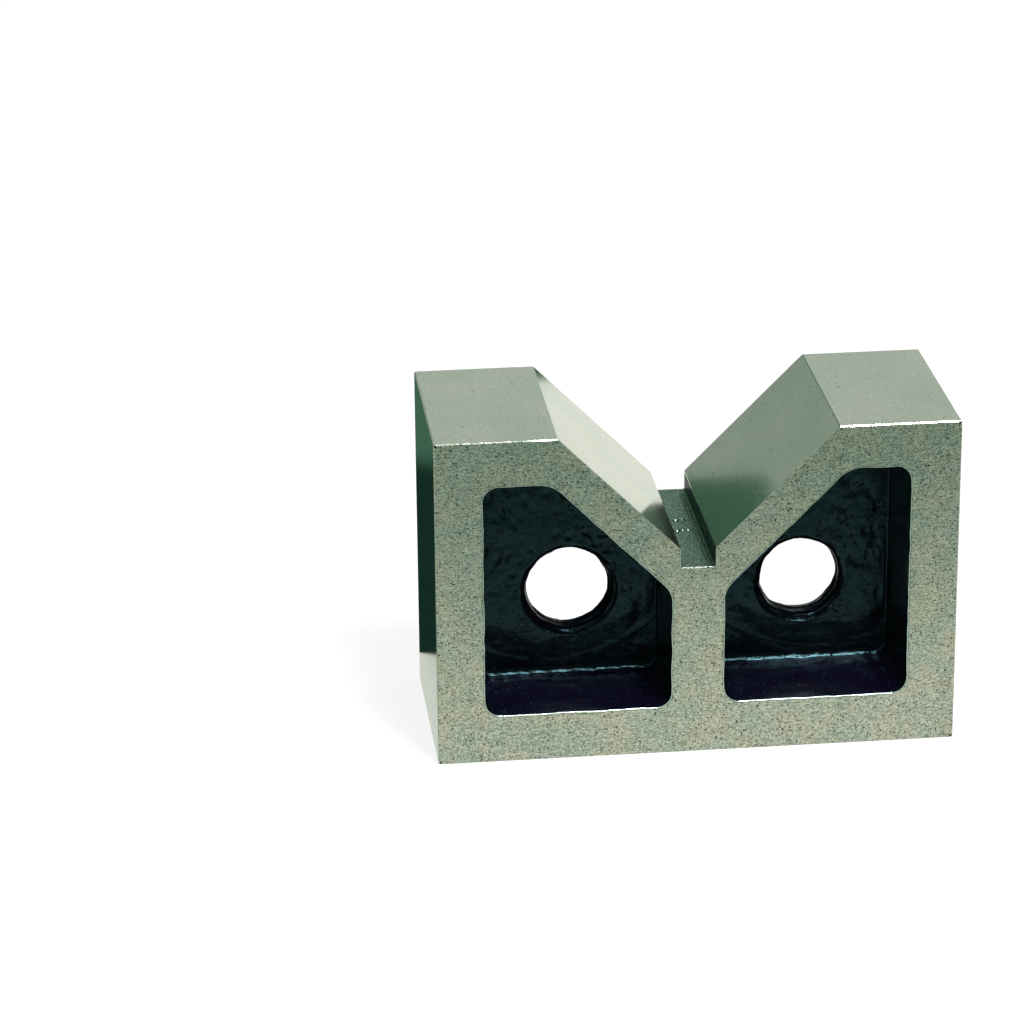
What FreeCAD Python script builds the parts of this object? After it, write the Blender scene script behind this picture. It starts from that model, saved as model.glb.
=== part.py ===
"""V block: one grey iron casting, ground outside, with cored pockets on both sides of a web.

The vee runs along Y, X is across it and Z is up. The origin is the middle of the ground base.
Lengths are in millimetres and angles in degrees.
"""

import FreeCAD, Part
import math
import os

import Sketcher

# Each row is an alias, its value and what it measures.
SIZES = [
    ("block_width", 150.0, "overall, across the vee"),
    ("block_depth", 62.0, "overall, along the vee"),
    ("block_height", 98.0, "ground base to the lands"),
    ("vee_angle", 90.0, "included angle of the vee"),
    ("land_width", 35.0, "each flat land beside the vee"),
    ("slot_width", 10.0, "relief slot under the vee"),
    ("slot_depth", 5.7, "relief slot, below the foot of the vee"),
    ("edge_break", 0.4, "chamfer on the ground edges"),
    ("outer_wall", 14.0, "upright wall at each end"),
    ("centre_rib", 15.0, "upright rib under the slot"),
    ("floor_wall", 14.5, "base of the casting, under the pockets"),
    ("land_wall", 13.5, "metal between a pocket and its land"),
    ("vee_wall", 11.0, "metal behind each vee face, square to it"),
    ("web_thickness", 8.0, "web between the front and back pockets"),
    ("pocket_draft", 1.5, "taper of the pocket walls"),
    ("corner_radius", 4.5, "square corners of the pockets"),
    ("blunt_radius", 7.5, "blunt corners of the pockets, at the ends of the vee wall"),
    ("web_fillet", 3.5, "pocket walls to web"),
    ("hole_radius", 12.0, "cored hole in the web"),
    ("hole_bevel", 1.5, "rims of the cored hole"),
]

# Places that follow from the sizes, written for the sheet.
HALF_VEE = "(sizes.vee_angle / 2)"
FACE_SLOPE = "(90 - sizes.vee_angle / 2)"
LAND_X = "(sizes.block_width / 2 - sizes.land_width)"
FOOT_X = "(sizes.slot_width / 2)"
FOOT_Z = f"(sizes.block_height - ({LAND_X} - {FOOT_X}) / tan({HALF_VEE}))"
POCKET_INNER_X = "(sizes.centre_rib / 2)"
POCKET_OUTER_X = "(sizes.block_width / 2 - sizes.outer_wall)"
POCKET_TOP_Z = "(sizes.block_height - sizes.land_wall)"
POCKET_SHOULDER_Z = (
    f"({FOOT_Z} + ({POCKET_INNER_X} - {FOOT_X}) / tan({HALF_VEE})"
    f" - sizes.vee_wall / sin({HALF_VEE}))"
)
POCKET_DEPTH = "((sizes.block_depth - sizes.web_thickness) / 2)"
HOLE_X = f"(({POCKET_INNER_X} + {POCKET_OUTER_X}) / 2)"
HOLE_Z = f"(sizes.floor_wall + ({POCKET_OUTER_X} - {POCKET_INNER_X}) / 2)"

# Sketcher's numbers for its own axes and for the places on a line.
AXIS_X, AXIS_Z = range(-1, -3, -1)
START, END, CENTRE = range(1, 4)

# Turns of a pocket's wall: a seam turns by less than the first, a blunt corner than the second.
SMOOTH_TURN = 10.0
BLUNT_TURN = 70.0
SAME_PLACE = 0.001


def make_sheet(document):
    """Put the driving sizes in a spreadsheet, one to a row."""
    sheet = document.addObject("Spreadsheet::Sheet", "sizes")
    for row, (alias, value, meaning) in enumerate(SIZES, start=1):
        sheet.set(f"A{row}", alias)
        sheet.set(f"B{row}", str(value))
        sheet.set(f"C{row}", meaning)
        sheet.setAlias(f"B{row}", alias)
    document.recompute()


def worth(document, expression):
    """Return the number that an expression has with the sheet as it stands."""
    return float(document.sizes.evalExpression(expression.replace("sizes.", "")))


def origin_plane(body, role):
    """Return one of the body's own origin planes, as a reference."""
    plane = next(item for item in body.Origin.OriginFeatures if item.Role == role)
    return (plane, [""])


def add_sketch(body, name):
    """Add a sketch on the plane midway between the front and back faces."""
    sketch = body.newObject("Sketcher::SketchObject", name)
    sketch.AttachmentSupport = [origin_plane(body, "XZ_Plane")]
    sketch.MapMode = "FlatFace"
    return sketch


def add_loop(sketch, corners):
    """Draw a closed chain of lines through the corners and join their ends."""
    count = len(corners)
    for place in range(count):
        start = FreeCAD.Vector(*corners[place], 0)
        end = FreeCAD.Vector(*corners[(place + 1) % count], 0)
        sketch.addGeometry(Part.LineSegment(start, end), False)
    for line in range(count):
        constrain(sketch, "Coincident", line, END, (line + 1) % count, START)


def constrain(sketch, kind, *places):
    """Add a constraint that has no value."""
    sketch.addConstraint(Sketcher.Constraint(kind, *places))


def drive(sketch, name, expression, kind, *places):
    """Add a dimension and bind it to the sheet."""
    value = worth(sketch.Document, expression)
    if kind == "Angle":
        value = math.radians(value)
    number = sketch.addConstraint(Sketcher.Constraint(kind, *places, value))
    sketch.renameConstraint(number, name)
    sketch.setExpression(f"Constraints.{name}", expression)


def edges_where(feature, wanted):
    """Return a feature and the names of its edges that a test picks out."""
    edges = enumerate(feature.Shape.Edges, start=1)
    return (feature, [f"Edge{number}" for number, edge in edges if wanted(edge)])


def add_fillet(body, name, base, radius):
    """Round the named edges of a feature."""
    fillet = body.newObject("PartDesign::Fillet", name)
    fillet.Base = base
    fillet.setExpression("Radius", radius)
    body.Document.recompute()


def add_chamfer(body, name, base, size):
    """Bevel the named edges of a feature."""
    chamfer = body.newObject("PartDesign::Chamfer", name)
    chamfer.Base = base
    chamfer.setExpression("Size", size)
    body.Document.recompute()


def add_end_profile(body):
    """Draw the outline seen from the front: base, ends, lands, vee and relief slot."""
    document = body.Document
    half_width = worth(document, "sizes.block_width / 2")
    height = worth(document, "sizes.block_height")
    land_x = worth(document, LAND_X)
    foot_x = worth(document, FOOT_X)
    foot_z = worth(document, FOOT_Z)
    slot_z = foot_z - worth(document, "sizes.slot_depth")
    left_side = [(-half_width, 0), (-half_width, height), (-land_x, height)]
    left_side += [(-foot_x, foot_z), (-foot_x, slot_z)]
    right_side = [(-across, up) for across, up in reversed(left_side)]
    sketch = add_sketch(body, "end_profile")
    add_loop(sketch, left_side + right_side)

    left_end, left_land, left_face, left_slot, slot_floor = range(5)
    right_slot, right_face, right_land, right_end, base = range(5, 10)
    constrain(sketch, "PointOnObject", base, START, AXIS_X)
    constrain(sketch, "Symmetric", base, START, base, END, AXIS_Z)
    constrain(sketch, "Symmetric", slot_floor, START, slot_floor, END, AXIS_Z)
    for upright in (left_end, left_slot, right_slot, right_end):
        constrain(sketch, "Vertical", upright)
    for level in (left_land, right_land):
        constrain(sketch, "Horizontal", level)
    for left, right in ((left_end, right_end), (left_land, right_land), (left_slot, right_slot)):
        constrain(sketch, "Equal", left, right)
    drive(sketch, "overall_width", "sizes.block_width", "Distance", base)
    drive(sketch, "overall_height", "sizes.block_height", "Distance", right_end)
    drive(sketch, "land", "sizes.land_width", "Distance", right_land)
    drive(sketch, "slot_across", "sizes.slot_width", "Distance", slot_floor)
    drive(sketch, "slot_down", "sizes.slot_depth", "Distance", right_slot)
    drive(sketch, "face_slope", FACE_SLOPE, "Angle", right_face)
    return sketch


def add_blank(body):
    """Extrude the end profile and break every edge of it that stands out."""
    blank = body.newObject("PartDesign::Pad", "blank")
    blank.Profile = add_end_profile(body)
    blank.SideType = "Symmetric"
    blank.setExpression("Length", "sizes.block_depth")
    body.Document.recompute()
    slot_z = worth(body.Document, f"{FOOT_Z} - sizes.slot_depth")

    def stands_out(edge):
        runs_along = abs(edge.tangentAt(edge.FirstParameter).y) > 0.5
        in_slot_corner = abs(edge.CenterOfMass.z - slot_z) < SAME_PLACE
        return not (runs_along and in_slot_corner)

    add_chamfer(body, "edge_breaks", edges_where(blank, stands_out), "sizes.edge_break")


def add_pocket_outline(body):
    """Draw the mouth of the front pocket on the right, in the plane of the front face."""
    document = body.Document
    inner_x = worth(document, POCKET_INNER_X)
    outer_x = worth(document, POCKET_OUTER_X)
    floor_z = worth(document, "sizes.floor_wall")
    shoulder_z = worth(document, POCKET_SHOULDER_Z)
    top_z = worth(document, POCKET_TOP_Z)
    slope_run = (top_z - shoulder_z) * worth(document, f"tan({HALF_VEE})")
    corners = [(inner_x, floor_z), (inner_x, shoulder_z), (inner_x + slope_run, top_z)]
    corners += [(outer_x, top_z), (outer_x, floor_z)]
    sketch = add_sketch(body, "pocket_outline")
    sketch.setExpression("AttachmentOffset.Base.z", "sizes.block_depth / 2")
    add_loop(sketch, corners)

    rib_side, slope, top, end_side, floor = range(5)
    for upright in (rib_side, end_side):
        constrain(sketch, "Vertical", upright)
    for level in (top, floor):
        constrain(sketch, "Horizontal", level)
    drive(sketch, "rib_place", POCKET_INNER_X, "DistanceX", rib_side, START)
    drive(sketch, "end_place", POCKET_OUTER_X, "DistanceX", end_side, START)
    drive(sketch, "floor_level", "sizes.floor_wall", "DistanceY", floor, START)
    drive(sketch, "shoulder_level", POCKET_SHOULDER_Z, "DistanceY", slope, START)
    drive(sketch, "top_level", POCKET_TOP_Z, "DistanceY", top, START)
    drive(sketch, "face_slope", FACE_SLOPE, "Angle", slope)
    return sketch


def add_hole_outline(body):
    """Draw the right-hand cored hole, in the middle of the web."""
    document = body.Document
    centre = FreeCAD.Vector(worth(document, HOLE_X), worth(document, HOLE_Z), 0)
    radius = worth(document, "sizes.hole_radius")
    sketch = add_sketch(body, "hole_outline")
    circle = sketch.addGeometry(Part.Circle(centre, FreeCAD.Vector(0, 0, 1), radius), False)
    drive(sketch, "hole_across", HOLE_X, "DistanceX", circle, CENTRE)
    drive(sketch, "hole_up", HOLE_Z, "DistanceY", circle, CENTRE)
    drive(sketch, "hole_size", "sizes.hole_radius", "Radius", circle)
    return sketch


def add_cut(body, name, outline, depth, taper=None):
    """Cut one recess, then mirror it to the left and both of them to the back."""
    uncut_volume = body.Tip.Shape.Volume
    cut = body.newObject("PartDesign::Pocket", name)
    cut.Profile = outline
    cut.setExpression("Length", depth)
    if taper:
        cut.setExpression("TaperAngle", taper)
    body.Document.recompute()
    if cut.Shape.Volume >= uncut_volume:
        raise RuntimeError(f"{name} cuts nothing away")

    copies = body.newObject("PartDesign::MultiTransform", f"{name}_copies")
    copies.Originals = [cut]
    mirrors = []
    for role in ("YZ_Plane", "XZ_Plane"):
        mirror = body.Document.addObject("PartDesign::Mirrored", f"{name}_mirror_{role[:2]}")
        mirror.MirrorPlane = origin_plane(body, role)
        mirrors.append(mirror)
    copies.Transformations = mirrors
    body.Tip = copies
    body.Document.recompute()


def wall_turn(shape, edge):
    """Return the angle in degrees between the directions that the edge's two faces look."""
    looks = []
    for face in shape.ancestorsOfType(edge, Part.Face):
        across, along = face.Surface.parameter(edge.CenterOfMass)
        looks.append(face.normalAt(across, along))
    return math.degrees(looks[0].getAngle(looks[1]))


def round_corners(body, name, radius, least_turn, most_turn):
    """Round the pocket corners, from mouth to web, whose walls turn by this much."""
    base = body.Tip
    web_y = worth(body.Document, "sizes.web_thickness / 2")
    mouth_y = worth(body.Document, "sizes.block_depth / 2")

    def wanted(edge):
        ends = sorted(abs(vertex.Y) for vertex in edge.Vertexes)
        misses = (abs(ends[0] - web_y), abs(ends[-1] - mouth_y))
        return max(misses) < SAME_PLACE and least_turn < wall_turn(base.Shape, edge) < most_turn

    add_fillet(body, name, edges_where(base, wanted), radius)


def add_pockets(body):
    """Cut the four pockets, round their corners and fillet their walls into the web."""
    add_cut(body, "pocket", add_pocket_outline(body), POCKET_DEPTH, "-sizes.pocket_draft")
    round_corners(body, "blunt_corners", "sizes.blunt_radius", SMOOTH_TURN, BLUNT_TURN)
    round_corners(body, "square_corners", "sizes.corner_radius", BLUNT_TURN, 180.0)
    web_y = worth(body.Document, "sizes.web_thickness / 2")

    def on_web(edge):
        return all(abs(abs(vertex.Y) - web_y) < SAME_PLACE for vertex in edge.Vertexes)

    add_fillet(body, "web_fillets", edges_where(body.Tip, on_web), "sizes.web_fillet")


def add_holes(body):
    """Core the two holes through the web and bevel their rims."""
    add_cut(body, "hole", add_hole_outline(body), "sizes.web_thickness")
    web_y = worth(body.Document, "sizes.web_thickness / 2")

    def on_rim(edge):
        is_round = isinstance(edge.Curve, Part.Circle) and edge.isClosed()
        return is_round and abs(abs(edge.CenterOfMass.y) - web_y) < SAME_PLACE

    add_chamfer(body, "hole_rims", edges_where(body.Tip, on_rim), "sizes.hole_bevel")


def make_v_block(document):
    """Model the casting in the order it is made: blank, pockets, then holes."""
    body = document.addObject("PartDesign::Body", "v_block")
    body.Label = "v_block"
    add_blank(body)
    add_pockets(body)
    add_holes(body)
    body.Placement = FreeCAD.Placement()
    return body


def check(document, body):
    """Stop if an object failed to build, or if the casting isn't one sound solid."""
    for item in document.Objects:
        faults = {"Invalid", "Error"} & set(item.State)
        if faults:
            raise RuntimeError(f"{item.Label} is in state {', '.join(sorted(faults))}")
    shape = body.Shape
    if shape.isNull() or not shape.isValid() or len(shape.Solids) != 1:
        raise RuntimeError(f"{body.Label} isn't one valid solid")


def main():
    """Build the document, check it and write the casting's STEP file."""
    document = FreeCAD.newDocument("v_block")
    make_sheet(document)
    body = make_v_block(document)
    document.recompute()
    check(document, body)
    os.makedirs("parts", exist_ok=True)
    body.Shape.exportStep(f"parts/{body.Label}.step")
    print(f"{body.Label}: {body.Shape.Volume / 1000:.1f} cubic centimetres")


main()
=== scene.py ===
"""The v block dressed for its picture: ground grey iron outside, gloss black paint in the cored pockets.

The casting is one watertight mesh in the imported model's frame. X is across the vee, Y along it and
Z up, and the front faces -Y. Sizes are in millimetres until a mesh or a light is made from them.
"""

import bpy
import math
import numpy as np
from mathutils import Euler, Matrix, Vector, geometry, noise


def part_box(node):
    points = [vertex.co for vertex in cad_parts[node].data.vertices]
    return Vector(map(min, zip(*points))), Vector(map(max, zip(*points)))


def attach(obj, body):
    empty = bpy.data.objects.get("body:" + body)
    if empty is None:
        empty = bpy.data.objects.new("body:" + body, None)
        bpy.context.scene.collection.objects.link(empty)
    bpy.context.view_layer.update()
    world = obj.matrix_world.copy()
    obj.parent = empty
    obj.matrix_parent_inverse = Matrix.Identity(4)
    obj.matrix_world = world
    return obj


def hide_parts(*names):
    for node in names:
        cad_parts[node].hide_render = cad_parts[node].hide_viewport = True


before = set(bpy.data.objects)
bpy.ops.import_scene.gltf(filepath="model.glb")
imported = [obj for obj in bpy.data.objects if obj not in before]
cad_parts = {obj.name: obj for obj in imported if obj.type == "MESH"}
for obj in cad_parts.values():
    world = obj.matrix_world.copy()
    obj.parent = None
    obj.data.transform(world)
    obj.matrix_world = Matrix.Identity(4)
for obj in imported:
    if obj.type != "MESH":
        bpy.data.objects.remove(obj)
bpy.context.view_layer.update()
MM = 0.001

# The outside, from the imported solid's own box.
LOW, HIGH = (np.array(corner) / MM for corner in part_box("v_block"))
END_X = HIGH[0]
FACE_Y = HIGH[1]
LAND_Z = HIGH[2]
LAND_X = 40.0
FOOT_X = 5.0
FOOT_Z = LAND_Z - (LAND_X - FOOT_X)
SLOT_Z = FOOT_Z - 5.7
WEB_Y = 4.0

# Edges, rims and casting skin.
EDGE_BREAK = 0.40
VEE_BREAK = 0.16
EDGE_ROUND = 0.12
SLOT_CORNER = 0.3
MOUTH_BREAK = 0.18
BORDER = 0.6
SQUARE_CORNER = 4.5
BLUNT_CORNER = 7.5
WEB_FILLET = 2.2
POCKET_DRAFT = math.tan(math.radians(1.5))
HOLE_DRAFT = math.tan(math.radians(3.0))
RIM_RADIUS = 2.0
TOOL_LINES = (3.3, 4.2)
PUNCH_ROWS = (-2.7, 5.4)
PUNCHES = ((-1.9, -3.0), (-0.2, -2.5), (1.3, -2.7), (-1.2, 5.2), (0.7, 5.6))

# Each pocket as it was cast: inner and outer walls, floor, top, vee wall's z - x, and its hole.
POCKETS = {
    "left": dict(side=-1, inner=7.5, outer=61.2, floor=14.3, top=84.3, slope=42.4, hole=(34.0, 41.3, 12.2)),
    "right": dict(side=1, inner=7.8, outer=60.8, floor=15.0, top=85.0, slope=42.0, hole=(34.0, 41.3, 11.6)),
}

IRON, PAINT = range(2)
FLAT, EDGE, WALL, WEB, HOLE = range(5)

# What the iron's gloss sees of the studio.
ROOM = (0.03, 0.06, 0.05, 1)
ROOM_SIDES = (0.34, 0.42, 0.37, 1)
FAR_FLOOR = (0.18, 0.28, 0.22, 1)
BACKDROP_LEFT = (0.37, 0.44, 0.38, 1)
BACKDROP_HIGH_LEFT = (0.10, 0.20, 0.15, 1)
BACKDROP_RIGHT = (0.62, 0.66, 0.61, 1)
NEAR_FLOOR = (0.72, 0.75, 0.68, 1)
SIDE_FLOOR = (0.42, 0.49, 0.41, 1)
POOL = (1.00, 1.00, 0.93, 1)
FLAG_DARK = (0.006, 0.026, 0.018, 1)
FLAG_GREEN = (0.055, 0.14, 0.09, 1)


def rough(places, wavelength, octaves=3, seed=0.0):
    """Return smooth noise of about -1 to 1 at each place, the same on every run."""
    shift = Vector((seed * 17.3, seed * 5.1, -seed * 9.7))
    flat = np.asarray(places, float).reshape(-1, 3) / wavelength
    values = [noise.fractal(Vector(place) + shift, 0.8, 2.0, octaves) for place in flat]
    return np.array(values).reshape(np.asarray(places).shape[:-1])


def eased(value):
    """Turn 0 to 1 into a soft start and stop."""
    value = np.clip(value, 0, 1)
    return value * value * (3 - 2 * value)


def outline(corners, cuts, spacings, bevelled, border=0.0, arc_points=9):
    """Return points and outward normals round a closed outline, anticlockwise.

    Each corner is rounded to a radius, or bevelled by a length, and each run that follows a corner
    has its own spacing.
    """
    corners = np.array(corners, float)
    runs = np.roll(corners, -1, 0) - corners
    runs /= np.linalg.norm(runs, axis=1)[:, None]
    turned = []
    for place, corner in enumerate(corners):
        before, after = runs[place - 1], runs[place]
        turn = math.atan2(before[0] * after[1] - before[1] * after[0], before @ after)
        start = math.atan2(-before[0], before[1])
        if bevelled[place]:
            shares = np.array([0, EDGE_ROUND, 1 - EDGE_ROUND, 1])[:, None]
            points = corner - before * cuts[place] * (1 - shares) + after * cuts[place] * shares
            angles = start + turn * np.array([0, 0.5, 0.5, 1])
        else:
            reach = cuts[place] * abs(math.tan(turn / 2))
            angles = start + np.linspace(0, turn, arc_points + 1)
            bulge = math.copysign(cuts[place], turn)
            middle = corner - before * reach - bulge * np.array([math.cos(start), math.sin(start)])
            points = middle + bulge * np.stack([np.cos(angles), np.sin(angles)], -1)
        turned.append((points, np.stack([np.cos(angles), np.sin(angles)], -1)))
    points, normals = [], []
    for place, (corner_points, corner_looks) in enumerate(turned):
        run = turned[(place + 1) % len(turned)][0][0] - corner_points[-1]
        length = np.linalg.norm(run)
        steps = max(1, round((length - 2 * border) / spacings[place]))
        shares = np.linspace(border, length - border, steps + 1) / length if border else np.arange(1, steps) / steps
        points += [corner_points, corner_points[-1] + np.outer(shares, run)]
        normals += [corner_looks, np.repeat(corner_looks[-1:], len(shares), 0)]
    return np.concatenate(points), np.concatenate(normals)


def in_space(flat, y):
    """Put outline points, x and z, at a place along the vee."""
    flat = np.asarray(flat, float)
    return np.stack([flat[:, 0], np.broadcast_to(y, len(flat)), flat[:, 1]], -1)


class Skin:
    """Collects vertices, normals, faces and marks: 1 at an edge, 2 in the slot, 3 at a mouth, 4 in a hole."""

    def __init__(self):
        self.points, self.normals, self.marks = [], [], []
        self.faces, self.kinds = [], []
        self.count = 0

    def add_ring(self, points, normals, mark):
        """Add a ring of vertices and return their numbers."""
        numbers = np.arange(self.count, self.count + len(points))
        self.points.append(points)
        self.normals.append(normals)
        self.marks.append(np.broadcast_to(mark, len(points)))
        self.count += len(points)
        return numbers

    def join(self, ring, following, kind):
        """Bridge two anticlockwise rings: facing inwards if the second is further back, else outwards."""
        for a, b, c, d in zip(ring, np.roll(ring, -1), np.roll(following, -1), following):
            self.faces.append((a, b, c, d))
            self.kinds.append(kind)

    def cap(self, outer, holes, flip):
        """Fill between a ring and the holes in it, all in one plane."""
        loops = [outer, *holes]
        everything = np.concatenate(self.points)
        numbers = np.concatenate(loops)
        flat = [[Vector((everything[n][0], everything[n][2], 0)) for n in loop] for loop in loops]
        for triangle in geometry.tessellate_polygon(flat):
            a, b, c = (numbers[corner] for corner in triangle)
            pa, pb, pc = everything[a], everything[b], everything[c]
            faces_back = np.cross(pb - pa, pc - pa)[1] > 0
            self.faces.append((a, b, c) if faces_back != flip else (a, c, b))
            self.kinds.append(IRON)


def outer_profile(edge_break):
    """Return the outline seen from the front: base, ends, lands, vee and relief slot."""
    right = [(END_X, 0), (END_X, LAND_Z), (LAND_X, LAND_Z), (FOOT_X, FOOT_Z), (FOOT_X, SLOT_Z)]
    left = [(-across, up) for across, up in reversed(right)]
    half_cuts = [edge_break, edge_break, VEE_BREAK, VEE_BREAK, SLOT_CORNER]
    cuts = half_cuts + half_cuts[::-1]
    bevelled = [True] * 4 + [False] * 2 + [True] * 4
    spacings = [2.0, 2.0, 2.0, 1.0, 0.16, 1.0, 2.0, 2.0, 2.0, 2.0]
    points, looks = outline(right + left, cuts, spacings, bevelled, 0.4, arc_points=3)
    for line_x in TOOL_LINES:
        points[:, 1] -= 0.18 * np.exp(-(((points[:, 0] - line_x) / 0.16) ** 2)) * on_slot_floor(*points.T)
    return points, looks


def on_slot_floor(across, up):
    """Tell which places are on the floor of the relief slot."""
    return (np.abs(across) < FOOT_X - SLOT_CORNER) & (np.abs(up - SLOT_Z) < 0.3)


def front_break(points):
    """Return the front edges' bevel, how far in and how steep: as far in everywhere, and turned to 45 degrees where a
    land was dressed.
    """
    on_land = points[:, 1] > LAND_Z - 1
    dressed = on_land * np.where(points[:, 0] > 0, 1.0, eased((points[:, 0] + 47.0) / 1.5) * 0.8)
    return EDGE_BREAK * 0.80, 1.15 - (1.15 - math.pi / 4) * dressed


def add_outside(skin):
    """Add the ground outside and return the rings that bound the front and back faces."""
    base_points, base_looks = outer_profile(EDGE_BREAK)
    steps = np.linalg.norm(np.roll(base_points, -1, 0) - base_points, axis=1)
    at_edge = (np.minimum(steps, np.roll(steps, 1)) < 0.1).astype(float)
    in_slot = (np.abs(base_points[:, 0]) <= FOOT_X + 0.01) & (base_points[:, 1] < FOOT_Z - 0.3)
    slotted = np.where(in_slot, 2.0, at_edge)
    ends = {}
    for side in (-1, 1):
        inset, tilt = front_break(base_points)
        inset = np.clip(inset * (1 + 0.25 * rough(in_space(base_points, side * FACE_Y), 3.0, seed=3)), 0.06, 0.62)
        turned = []
        for share, facing in ((0, 0 * tilt), (EDGE_ROUND, tilt), (1 - EDGE_ROUND, tilt), (1, 0 * tilt + math.pi / 2)):
            back = inset / np.tan(tilt) * (1 - share)
            points = in_space(base_points - base_looks * (inset * share)[:, None], side * (FACE_Y - back))
            looks = in_space(base_looks * np.cos(facing)[:, None], side * np.sin(facing))
            turned.append(skin.add_ring(points, looks, 1.0))
        border = in_space(base_points - base_looks * (inset + BORDER)[:, None], side * FACE_Y)
        turned.append(skin.add_ring(border, in_space(base_looks * 0, side), 0.0))
        ends[side] = turned
    near_punches = np.concatenate([row + np.arange(-1.5, 1.6, 0.25) for row in PUNCH_ROWS])
    stations = np.union1d(np.linspace(-FACE_Y + 1, FACE_Y - 1, 31), near_punches)
    breaks = EDGE_BREAK * (1 + 0.25 * rough(np.outer(stations, [0, 1, 0]), 5.0))
    profiles = [outer_profile(edge_break) for edge_break in breaks]
    grid = np.array([in_space(points, y) for (points, looks), y in zip(profiles, stations)])
    grid_looks = np.array([in_space(looks, 0) for points, looks in profiles])
    on_floor = on_slot_floor(grid[..., 0], grid[..., 2])
    for punch_x, punch_y in PUNCHES:
        away = np.hypot(grid[..., 0] - punch_x, grid[..., 1] - punch_y)
        lip = 0.22 * np.exp(-(((away - 0.85) / 0.28) ** 2))
        grid[..., 2] += on_floor * (lip - 0.50 * np.exp(-((away / 0.55) ** 2)))
    grid_looks = np.where(on_floor[..., None], -grid_normals(grid, 1), grid_looks)
    rings = [skin.add_ring(ring, looks, slotted) for ring, looks in zip(grid, grid_looks)]
    chain = ends[-1][::-1] + rings + ends[1]
    for ring, following in zip(chain, chain[1:]):
        skin.join(following, ring, IRON)
    return ends[-1][-1], ends[1][-1]


def pocket_rings(cast):
    """Return one pocket's rings, front to back through its hole, and the stage each one belongs to."""
    side = cast["side"]
    corners = [(cast["inner"], cast["floor"]), (cast["outer"], cast["floor"]), (cast["outer"], cast["top"])]
    corners += [(cast["top"] - cast["slope"], cast["top"]), (cast["inner"], cast["inner"] + cast["slope"])]
    radii = [SQUARE_CORNER, SQUARE_CORNER, SQUARE_CORNER, BLUNT_CORNER, BLUNT_CORNER]
    mouth, looks = outline(corners, radii, [0.95] * 5, [False] * 5)
    hole_x, hole_z, hole_radius = cast["hole"]
    centre = np.array([hole_x, hole_z])
    depth = FACE_Y - WEB_Y
    fillet = WEB_FILLET * (0.25 + 0.75 * eased(-looks[:, 1]))

    # From the mouth to the web: inset, depth and stage.
    worn = MOUTH_BREAK * (1 + 0.6 * rough(in_space(mouth, side * 30), 1.8, 2, seed=14))
    way = [(-worn - BORDER, 0.0, FLAT), (-worn, 0.0, EDGE), (0.0, worn, EDGE)]
    for along in np.linspace(0, 1, 19)[1:]:
        deep = worn + along * (depth - fillet - worn)
        way.append((POCKET_DRAFT * deep, deep, WALL))
    for angle in np.linspace(0, math.pi / 2, 9)[1:]:
        inset = POCKET_DRAFT * (depth - fillet) + fillet * (1 - math.cos(angle))
        way.append((inset, depth - fillet * (1 - math.sin(angle)), WALL))

    wavy = 0.20 * rough(in_space(mouth, 0) + [0, side * 40, 0], 6.0, 3, seed=2)
    rings = []
    for inset, deep, stage in way:
        fade = eased(1 - (deep - MOUTH_BREAK) / 8.0)
        rings.append((mouth - looks * (inset + wavy * fade)[:, None], deep, stage))

    inner_ring = rings[-1][0]
    spokes = inner_ring - centre
    spokes /= np.linalg.norm(spokes, axis=1)[:, None]
    circle = in_space(centre + spokes * hole_radius, side * 60)
    ragged = (0.45 * rough(circle, 9.0, 2, seed=8) + 0.07 * rough(circle, 1.6, 2, seed=15))[:, None]
    hole_edge = hole_radius + HOLE_DRAFT * (WEB_Y - RIM_RADIUS) + ragged
    rim = centre + spokes * (hole_edge + RIM_RADIUS)
    for share in np.linspace(0, 1, 31)[1:]:
        rings.append((inner_ring + (rim - inner_ring) * share, depth, WEB))
    for angle in np.linspace(0, math.pi / 2, 8)[1:]:
        flat = centre + spokes * (hole_edge + RIM_RADIUS * (1 - math.sin(angle)))
        rings.append((flat, depth + RIM_RADIUS * (1 - math.cos(angle)), HOLE))
    for share in np.linspace(0, 1, 6)[1:]:
        fall = (WEB_Y - RIM_RADIUS) * share
        flash = 0.35 * math.exp(-(((1 - share) / 0.25) ** 2))
        flat = centre + spokes * (hole_edge - HOLE_DRAFT * fall - flash)
        rings.append((flat, depth + RIM_RADIUS + fall, HOLE))

    there = [(in_space(flat, -FACE_Y + deep), stage) for flat, deep, stage in rings]
    back = [(in_space(flat, FACE_Y - deep), stage) for flat, deep, stage in rings[-2::-1]]
    grid = np.array([points for points, stage in there + back]) * [side, 1, 1]
    return grid, np.array([stage for points, stage in there + back])


def grid_normals(grid, side):
    """Return unit normals of a tube of rings, looking into the tube."""
    along = np.gradient(grid, axis=0)
    around = np.roll(grid, -1, 1) - np.roll(grid, 1, 1)
    normals = np.cross(around, along) * side
    return normals / np.maximum(np.linalg.norm(normals, axis=2), 1e-9)[..., None]


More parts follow.
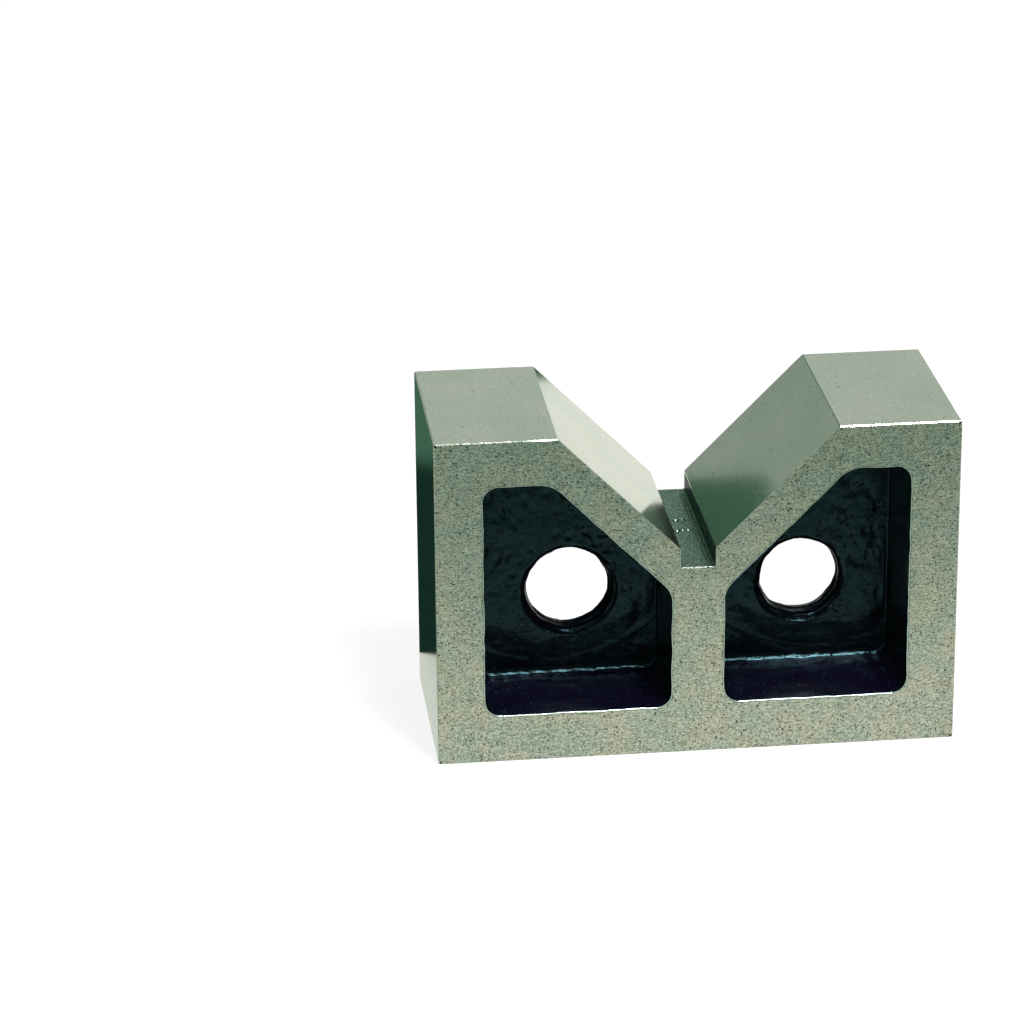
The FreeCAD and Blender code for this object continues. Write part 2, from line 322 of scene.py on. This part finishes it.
def casting_skin(grid, stages):
    """Return how far the painted casting stands in from its even form, by place."""
    across, up = np.abs(grid[..., 0]), grid[..., 2]
    on_web = (stages == WEB)[:, None]
    in_hole = (stages == HOLE)[:, None]
    bowed = ((across - 40.0) / 22.0) ** 2
    sag_line = 27.5 + 8.0 * bowed + 1.6 * rough(grid, 12.0, 2, seed=4) + 1.1 * rough(grid, 3.2, 2, seed=10)
    drip_line = 19.0 + 6.0 * bowed + 0.5 * rough(grid, 8.0, 2, seed=16)
    above = eased((up - sag_line + 1) / 6)
    lumps = 0.16 * rough(grid, 9.0, 3, seed=5) + 0.05 * rough(grid, 2.6, 2, seed=6)
    pitted = eased((rough(grid, 14.0, 2, seed=9) + 0.5) / 0.6) * above
    pits = -0.30 * pitted * eased((rough(grid, 3.6, 2, seed=7) - 0.15) / 0.4)
    sag = 0.75 * eased((up - sag_line + 9) / 9) * eased((sag_line + 26 - up) / 26)
    sag += 0.14 * np.exp(-(((up - drip_line) / 0.7) ** 2))
    pooled = np.exp(-(((up - 16.0) / 3.0) ** 2)) * np.exp(-(((FACE_Y - np.abs(grid[..., 1]) - 25.0) / 3.0) ** 2))
    drips = 0.22 * pooled * rough(grid, 3.2, 2, seed=12)
    ridges = 0.16 * rough(grid * [0.3, 1.4, 0.3], 1.6, 2, seed=13) * in_hole
    return lumps + (pits + sag) * on_web + drips + ridges


def add_pocket(skin, cast):
    """Add one cored pocket, front to back, and return the rings at its two mouths."""
    side = cast["side"]
    grid, stages = pocket_rings(cast)
    from_mouth = FACE_Y - np.abs(grid[..., 1])
    settle = eased((from_mouth - MOUTH_BREAK) / 2.5) * (stages >= WALL)[:, None]
    moved = grid + grid_normals(grid, side) * (casting_skin(grid, stages) * settle)[..., None]
    looks = grid_normals(moved, side)
    for number in (0, 1, -2, -1):
        looks[number] = [0, math.copysign(1, grid[number, 0, 1]), 0]
    order = slice(None) if side > 0 else slice(None, None, -1)
    rings = []
    for points, ring_looks, stage in zip(moved, looks, stages):
        rings.append(skin.add_ring(points[order], ring_looks[order], {EDGE: 3.0, HOLE: 4.0}.get(stage, 0.0)))
    for ring, following, stage, next_stage in zip(rings, rings[1:], stages, stages[1:]):
        kind = PAINT if max(stage, next_stage) >= WALL else IRON
        skin.join(ring, following, kind)
    return rings[0], rings[-1]


def make_casting(materials):
    """Make the casting's mesh: outside, pockets, holes and the faces between them."""
    skin = Skin()
    front, back = add_outside(skin)
    mouths = [add_pocket(skin, cast) for cast in POCKETS.values()]
    skin.cap(front, [mouth[0] for mouth in mouths], flip=True)
    skin.cap(back, [mouth[1] for mouth in mouths], flip=False)
    mesh = bpy.data.meshes.new("casting")
    points = np.concatenate(skin.points) * MM
    mesh.from_pydata(points.tolist(), [], [tuple(int(n) for n in face) for face in skin.faces])
    for material in materials:
        mesh.materials.append(material)
    mesh.polygons.foreach_set("material_index", np.array(skin.kinds, np.int32))
    mesh.polygons.foreach_set("use_smooth", np.ones(len(skin.kinds), bool))
    mark = mesh.attributes.new("mark", "FLOAT", "POINT")
    mark.data.foreach_set("value", np.concatenate(skin.marks).astype(np.float32))
    mesh.normals_split_custom_set_from_vertices(np.concatenate(skin.normals).tolist())
    mesh.update()
    casting = bpy.data.objects.new("casting", mesh)
    bpy.context.scene.collection.objects.link(casting)
    return casting


class Nodes:
    """A short way to write a material's or world's nodes."""

    def __init__(self, owner):
        owner.use_nodes = True
        self.tree = owner.node_tree
        self.tree.nodes.clear()

    def add(self, kind, settings=None, **inputs):
        """Add a node, set its properties, and set or link its inputs, whose names use _ for a space."""
        node = self.tree.nodes.new(kind)
        for name, value in (settings or {}).items():
            setattr(node, name, value)
        for name, value in inputs.items():
            self.put(node, int(name[1:]) if name[0] == "i" and name[1:].isdigit() else name.replace("_", " "), value)
        return node

    def put(self, node, socket, value):
        """Link a socket, or set it to a value."""
        target = node.inputs[socket]
        if isinstance(value, bpy.types.Node):
            value = value.outputs[0]
        if isinstance(value, bpy.types.NodeSocket):
            self.tree.links.new(value, target)
        else:
            target.default_value = value

    def math(self, operation, *values):
        """Add a Math node."""
        node = self.add("ShaderNodeMath", {"operation": operation})
        for number, value in enumerate(values):
            self.put(node, number, value)
        return node

    def ramp(self, value, low, high, start=0.0, end=1.0):
        """Map a range softly to another."""
        settings = {"interpolation_type": "SMOOTHSTEP"}
        return self.add("ShaderNodeMapRange", settings, i0=value, i1=low, i2=high, i3=start, i4=end).outputs[0]

    def blend(self, share, first, second):
        """Blend two numbers."""
        return self.add("ShaderNodeMix", i0=share, i2=first, i3=second).outputs[0]

    def mix(self, share, first, second):
        """Mix two colours."""
        node = self.add("ShaderNodeMix", {"data_type": "RGBA"})
        for socket, value in ((0, share), (6, first), (7, second)):
            self.put(node, socket, value)
        return node.outputs[2]

    def noise(self, place, scale, detail=2.0, roughness=0.5):
        """Add a noise texture, with its scale in waves per millimetre."""
        return self.add("ShaderNodeTexNoise", Vector=place, Scale=scale, Detail=detail, Roughness=roughness)

    def stretched(self, place, scales):
        """Scale a place by a different amount on each axis."""
        return self.add("ShaderNodeMapping", Vector=place, Scale=scales)


def millimetres(nodes):
    """Return the place on the casting in millimetres."""
    place = nodes.add("ShaderNodeTexCoord").outputs["Object"]
    return nodes.stretched(place, (1 / MM, 1 / MM, 1 / MM)).outputs[0]


def pores(nodes, place, scale, rarity, size):
    """Return small uneven pores, 1 at a pore's middle, that are missing from a share of their cells."""
    warp = nodes.noise(place, 1.8).outputs["Color"]
    uneven = nodes.add("ShaderNodeVectorMath", {"operation": "MULTIPLY_ADD"}, i0=warp, i1=(0.6, 0.6, 0.6), i2=place)
    squeezed = nodes.stretched(uneven, (0.75, 0.9, 1.05))
    cells = nodes.add("ShaderNodeTexVoronoi", Vector=squeezed, Scale=scale)
    chance = nodes.add("ShaderNodeSeparateColor", Color=cells.outputs["Color"]).outputs["Red"]
    radius = nodes.ramp(chance, rarity, 1.0, 0.0, size)
    return nodes.ramp(nodes.math("SUBTRACT", radius, cells.outputs["Distance"]), 0.0, 0.10)


def iron_material():
    """Ground cast iron: pores and grinding lines, coarser in the relief slot, which was cut by milling. The slot is
    also darker, partly for that rougher finish and partly as painted shade, and its walls are near black as painted
    shade.
    """
    material = bpy.data.materials.new("ground_iron")
    nodes = Nodes(material)
    place = millimetres(nodes)
    normal = nodes.add("ShaderNodeNewGeometry").outputs["Normal"]
    parts = nodes.add("ShaderNodeSeparateXYZ", Vector=normal)
    on_front = nodes.ramp(nodes.math("ABSOLUTE", parts.outputs["Y"]), 0.6, 0.8)
    mark = nodes.add("ShaderNodeAttribute", {"attribute_name": "mark"}).outputs["Fac"]
    mouth_highlight = nodes.ramp(mark, 2.3, 2.9)
    in_slot = nodes.math("MULTIPLY", nodes.ramp(mark, 1.1, 1.9), nodes.ramp(mark, 2.3, 2.1))

    clouds = nodes.noise(place, 0.045, 4.0)
    warm = nodes.noise(place, 0.10, 3.0)
    across_lines = nodes.noise(nodes.stretched(place, (0.16, 1.0, 2.4)), 1.0, 2.0, 0.6)
    along_lines = nodes.noise(nodes.stretched(place, (2.2, 0.05, 2.2)), 1.0, 2.0, 0.6)
    lines = nodes.blend(on_front, along_lines, across_lines)
    grain = nodes.noise(nodes.stretched(place, (0.7, 1.0, 1.2)), 2.6, 2.0, 0.6)
    patches = nodes.ramp(nodes.noise(place, 0.09, 2.0), 0.40, 0.62)
    rarity = nodes.blend(in_slot, nodes.blend(on_front, 0.93, nodes.blend(patches, 0.50, 0.15)), 0.0)
    rare = nodes.blend(on_front, 0.95, nodes.blend(patches, 0.85, 0.70))
    pore = nodes.math("MAXIMUM", pores(nodes, place, 1.8, rarity, 0.44), pores(nodes, place, 0.9, rare, 0.30))

    base = nodes.mix(nodes.ramp(clouds, 0.35, 0.65), (0.48, 0.56, 0.47, 1), (0.55, 0.60, 0.51, 1))
    creamy = nodes.ramp(warm, 0.42, 0.62, 0, nodes.blend(on_front, 0.15, 0.8))
    base = nodes.mix(creamy, base, (0.65, 0.61, 0.48, 1))
    rough_share = nodes.blend(on_front, 0.22, 0.85)
    base = nodes.mix(nodes.math("MULTIPLY", nodes.ramp(grain, 0.50, 0.32), rough_share), base, (0.18, 0.24, 0.20, 1))
    base = nodes.mix(nodes.math("MULTIPLY", nodes.ramp(grain, 0.50, 0.68), rough_share), base, (0.88, 0.90, 0.76, 1))
    streak = nodes.math("MULTIPLY", nodes.ramp(lines, 0.50, 0.72), nodes.blend(on_front, 0.15, 0.45))
    base = nodes.mix(streak, base, (0.26, 0.32, 0.26, 1))
    # Relief slot colour: the floor is darker partly for its rougher finish and partly as painted shade from the
    # narrow slot; the walls are near black, which is painted shade.
    painted_wall_shade = nodes.ramp(nodes.math("ABSOLUTE", parts.outputs["X"]), 0.8, 0.95)
    milled_and_shaded = nodes.mix(nodes.ramp(grain, 0.38, 0.62), (0.025, 0.07, 0.05, 1), (0.21, 0.34, 0.27, 1))
    base = nodes.mix(in_slot, base, nodes.mix(painted_wall_shade, milled_and_shaded, (0.012, 0.045, 0.035, 1)))
    base = nodes.mix(nodes.math("MULTIPLY", pore, 0.92), base, (0.02, 0.035, 0.028, 1))
    # Painted highlight: the ground rim round each pocket's mouth is lightened to a pale cyan green, standing in for
    # the glint along it.
    base = nodes.mix(nodes.math("MULTIPLY", mouth_highlight, 0.8), base, (0.72, 0.92, 0.84, 1))
    smooth = nodes.blend(on_front, 0.12, 0.30)
    roughness = nodes.blend(in_slot, nodes.math("ADD", smooth, nodes.ramp(grain, 0.35, 0.75, 0, 0.06)), 0.42)
    height = nodes.math("SUBTRACT", nodes.math("MULTIPLY", lines, nodes.blend(on_front, 0.15, 0.5)), pore)
    bump = nodes.add("ShaderNodeBump", Strength=0.3, Distance=0.04 * MM, Height=height)
    shader = nodes.add("ShaderNodeBsdfPrincipled", Base_Color=base, Roughness=roughness, Normal=bump)
    shader.inputs["Metallic"].default_value = 1.0
    nodes.add("ShaderNodeOutputMaterial", Surface=shader)
    return material


def paint_material():
    """Gloss black paint over the rough skin of the casting."""
    material = bpy.data.materials.new("black_paint")
    nodes = Nodes(material)
    place = millimetres(nodes)
    clouds = nodes.noise(place, 0.08, 3.0)
    grain = nodes.noise(place, 0.55, 4.0, 0.65)
    grit = nodes.noise(place, 1.3, 2.0, 0.6)
    normal = nodes.add("ShaderNodeNewGeometry").outputs["Normal"]
    faces_up = nodes.ramp(nodes.add("ShaderNodeSeparateXYZ", Vector=normal).outputs["Z"], 0.6, 0.9)
    mark = nodes.add("ShaderNodeAttribute", {"attribute_name": "mark"}).outputs["Fac"]
    in_hole = nodes.ramp(mark, 3.4, 3.9)
    clusters = nodes.ramp(nodes.noise(place, 0.10, 2.0), 0.45, 0.60)
    pits = nodes.math("MULTIPLY", nodes.ramp(nodes.noise(place, 0.85, 2.0, 0.6), 0.40, 0.31), clusters)
    streaks = nodes.ramp(nodes.noise(nodes.stretched(place, (0.10, 1.5, 0.10)), 1.0, 2.0), 0.50, 0.62)
    dull = nodes.math("MAXIMUM", nodes.ramp(grit, 0.42, 0.34, 0.0, 0.8), pits)
    gloss = nodes.blend(in_hole, nodes.blend(dull, 0.5, 0.10), nodes.blend(streaks, 0.04, 0.6))

    base = nodes.mix(nodes.ramp(clouds, 0.35, 0.65), (0.0010, 0.0012, 0.0020, 1), (0.0018, 0.0020, 0.0032, 1))
    base = nodes.mix(faces_up, base, (0.0018, 0.0012, 0.0055, 1))
    # Painted highlight: sparse pale cyan specks on the upward faces stand in for the small glints off the paint.
    glint_specks = nodes.ramp(nodes.noise(place, 2.6, 0.0), 0.82, 0.86)
    base = nodes.mix(nodes.math("MULTIPLY", glint_specks, faces_up), base, (0.05, 0.17, 0.18, 1))
    roughness = nodes.ramp(grain, 0.3, 0.7, 0.10, 0.22)
    skin = nodes.math("ADD", grain, nodes.math("MULTIPLY", grit, 0.25))
    height = nodes.math("SUBTRACT", skin, nodes.math("MULTIPLY", pits, 1.2))
    bump = nodes.add("ShaderNodeBump", Strength=0.40, Distance=0.35 * MM, Height=height)
    shader = nodes.add("ShaderNodeBsdfPrincipled", Base_Color=base, Roughness=roughness, Normal=bump)
    nodes.put(shader, "Specular IOR Level", gloss)
    shader.inputs["IOR"].default_value = 1.42
    shader.inputs["Specular Tint"].default_value = (0.40, 0.88, 1.0, 1)
    nodes.add("ShaderNodeOutputMaterial", Surface=shader)
    return material


def add_floor():
    """A pale floor: white to the camera, with a soft shadow, and a pool of light in the iron's gloss."""
    material = bpy.data.materials.new("floor")
    nodes = Nodes(material)
    path = nodes.add("ShaderNodeLightPath")
    lit = nodes.add("ShaderNodeBsdfDiffuse", Color=(0.9, 0.9, 0.9, 1))
    glow = nodes.add("ShaderNodeEmission", Color=(1, 1, 1, 1), Strength=1.0)
    seen = nodes.add("ShaderNodeMixShader", i0=0.82, i1=lit, i2=glow)
    place = nodes.add("ShaderNodeTexCoord").outputs["Object"]
    parts = nodes.add("ShaderNodeSeparateXYZ", Vector=place)
    in_front = nodes.mix(nodes.ramp(parts.outputs["Y"], -0.30, -0.05), FAR_FLOOR, NEAR_FLOOR)
    beside = nodes.mix(nodes.ramp(parts.outputs["X"], -0.078, -0.090), in_front, SIDE_FLOOR)
    behind = nodes.mix(nodes.ramp(parts.outputs["Y"], 0.12, 0.40), beside, POOL)
    mirror = nodes.add("ShaderNodeEmission", Color=behind, Strength=1.0)
    glossy = nodes.add("ShaderNodeMixShader", i0=path.outputs["Is Glossy Ray"], i1=lit, i2=mirror)
    shown = nodes.add("ShaderNodeMixShader", i0=path.outputs["Is Camera Ray"], i1=glossy, i2=seen)
    nodes.add("ShaderNodeOutputMaterial", Surface=shown)
    floor = add_sheet("floor", [(-3, -3, 0), (3, -3, 0), (3, 3, 0), (-3, 3, 0)], material)


def add_sheet(name, corners, material):
    """Make a flat four-cornered sheet; its corners are in metres."""
    mesh = bpy.data.meshes.new(name)
    mesh.from_pydata(corners, [], [(0, 1, 2, 3)])
    mesh.materials.append(material)
    sheet = bpy.data.objects.new(name, mesh)
    bpy.context.scene.collection.objects.link(sheet)
    return sheet


def add_card(name, start, end, top, low_colour, high_colour, change):
    """Stand a card that only the iron's gloss sees, as a studio's flags are; its colour changes at a height."""
    material = bpy.data.materials.new(name)
    nodes = Nodes(material)
    place = nodes.add("ShaderNodeTexCoord").outputs["Object"]
    height = nodes.add("ShaderNodeSeparateXYZ", Vector=place).outputs["Z"]
    shade = nodes.mix(nodes.ramp(height, change - 0.005, change + 0.005), low_colour, high_colour)
    glow = nodes.add("ShaderNodeEmission", Color=shade, Strength=1.0)
    nodes.add("ShaderNodeOutputMaterial", Surface=glow)
    card = add_sheet(name, [(*start, 0), (*end, 0), (*end, top), (*start, top)], material)
    card.visible_camera = False
    card.visible_diffuse = False
    card.visible_shadow = False
    card.visible_transmission = False


def light_world():
    """White to the camera; in the iron's gloss, a bright backdrop that dims to the left and in front."""
    world = bpy.data.worlds.new("studio")
    bpy.context.scene.world = world
    nodes = Nodes(world)
    path = nodes.add("ShaderNodeLightPath")
    direction = nodes.add("ShaderNodeTexCoord").outputs["Generated"]
    parts = nodes.add("ShaderNodeSeparateXYZ", Vector=direction)
    left = nodes.mix(nodes.ramp(parts.outputs["Z"], 0.18, 0.34), BACKDROP_LEFT, BACKDROP_HIGH_LEFT)
    backdrop = nodes.mix(nodes.ramp(parts.outputs["X"], -0.07, 0.07), left, BACKDROP_RIGHT)
    off_centre = nodes.math("ABSOLUTE", nodes.math("SUBTRACT", parts.outputs["X"], 0.12))
    in_front = nodes.mix(nodes.ramp(off_centre, 0.25, 0.45), ROOM, ROOM_SIDES)
    room = nodes.mix(nodes.ramp(parts.outputs["Y"], 0.0, 0.6), in_front, backdrop)
    shown = nodes.mix(path.outputs["Is Glossy Ray"], (1, 1, 1, 1), room)
    strength = nodes.add("ShaderNodeMix", i0=path.outputs["Is Diffuse Ray"], i2=1.0, i3=0.8).outputs[0]
    shade = nodes.add("ShaderNodeBackground", Color=shown, Strength=strength)
    nodes.add("ShaderNodeOutputWorld", Surface=shade)


def add_lamp(name, place, target, width, height, power):
    """Add a soft oblong lamp that looks at a target; places are in metres."""
    data = bpy.data.lights.new(name, "AREA")
    data.shape = "RECTANGLE"
    data.size = width
    data.size_y = height
    data.energy = power
    lamp = bpy.data.objects.new(name, data)
    lamp.location = place
    lamp.rotation_euler = (Vector(target) - Vector(place)).to_track_quat("-Z", "Y").to_euler()
    bpy.context.scene.collection.objects.link(lamp)
    return lamp


def add_camera():
    """Place the camera of the photograph: a long lens, in front, a little left and above."""
    data = bpy.data.cameras.new("camera")
    data.lens = 144.79
    data.sensor_width = 36.0
    camera = bpy.data.objects.new("camera", data)
    camera.location = (-0.16485, -1.10175, 0.50073)
    turn = Euler((math.radians(90 - 21.49), 0, math.radians(-5.96)), "XYZ").to_quaternion()
    roll = Euler((0, 0, math.radians(-0.575)), "XYZ").to_quaternion()
    camera.rotation_mode = "QUATERNION"
    camera.rotation_quaternion = turn @ roll
    bpy.context.scene.collection.objects.link(camera)
    bpy.context.scene.camera = camera


bpy.context.scene.view_settings.view_transform = "Standard"
add_camera()
light_world()
add_floor()
add_card("side_flag", (-0.150, 0.0125), (-0.050, 0.0642), 0.098, FLAG_DARK, FLAG_GREEN, 0.063)
add_card("vee_flag", (-0.050, 0.0642), (-0.0175, 0.081), 0.098, FLAG_DARK, FLAG_GREEN, 0.045)
add_lamp("key", (0.175, -0.42, 0.98), (0, 0, 0.05), 0.25, 0.25, 14.0)
add_lamp("left_strip", (0.071, -0.72, 0.72), (0, 0, 0.015), 0.062, 0.05, 1.5)
add_lamp("right_strip", (0.192, -0.72, 0.72), (0, 0, 0.015), 0.072, 0.05, 1.7)
casting = make_casting([iron_material(), paint_material()])
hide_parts("v_block")
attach(casting, "root")
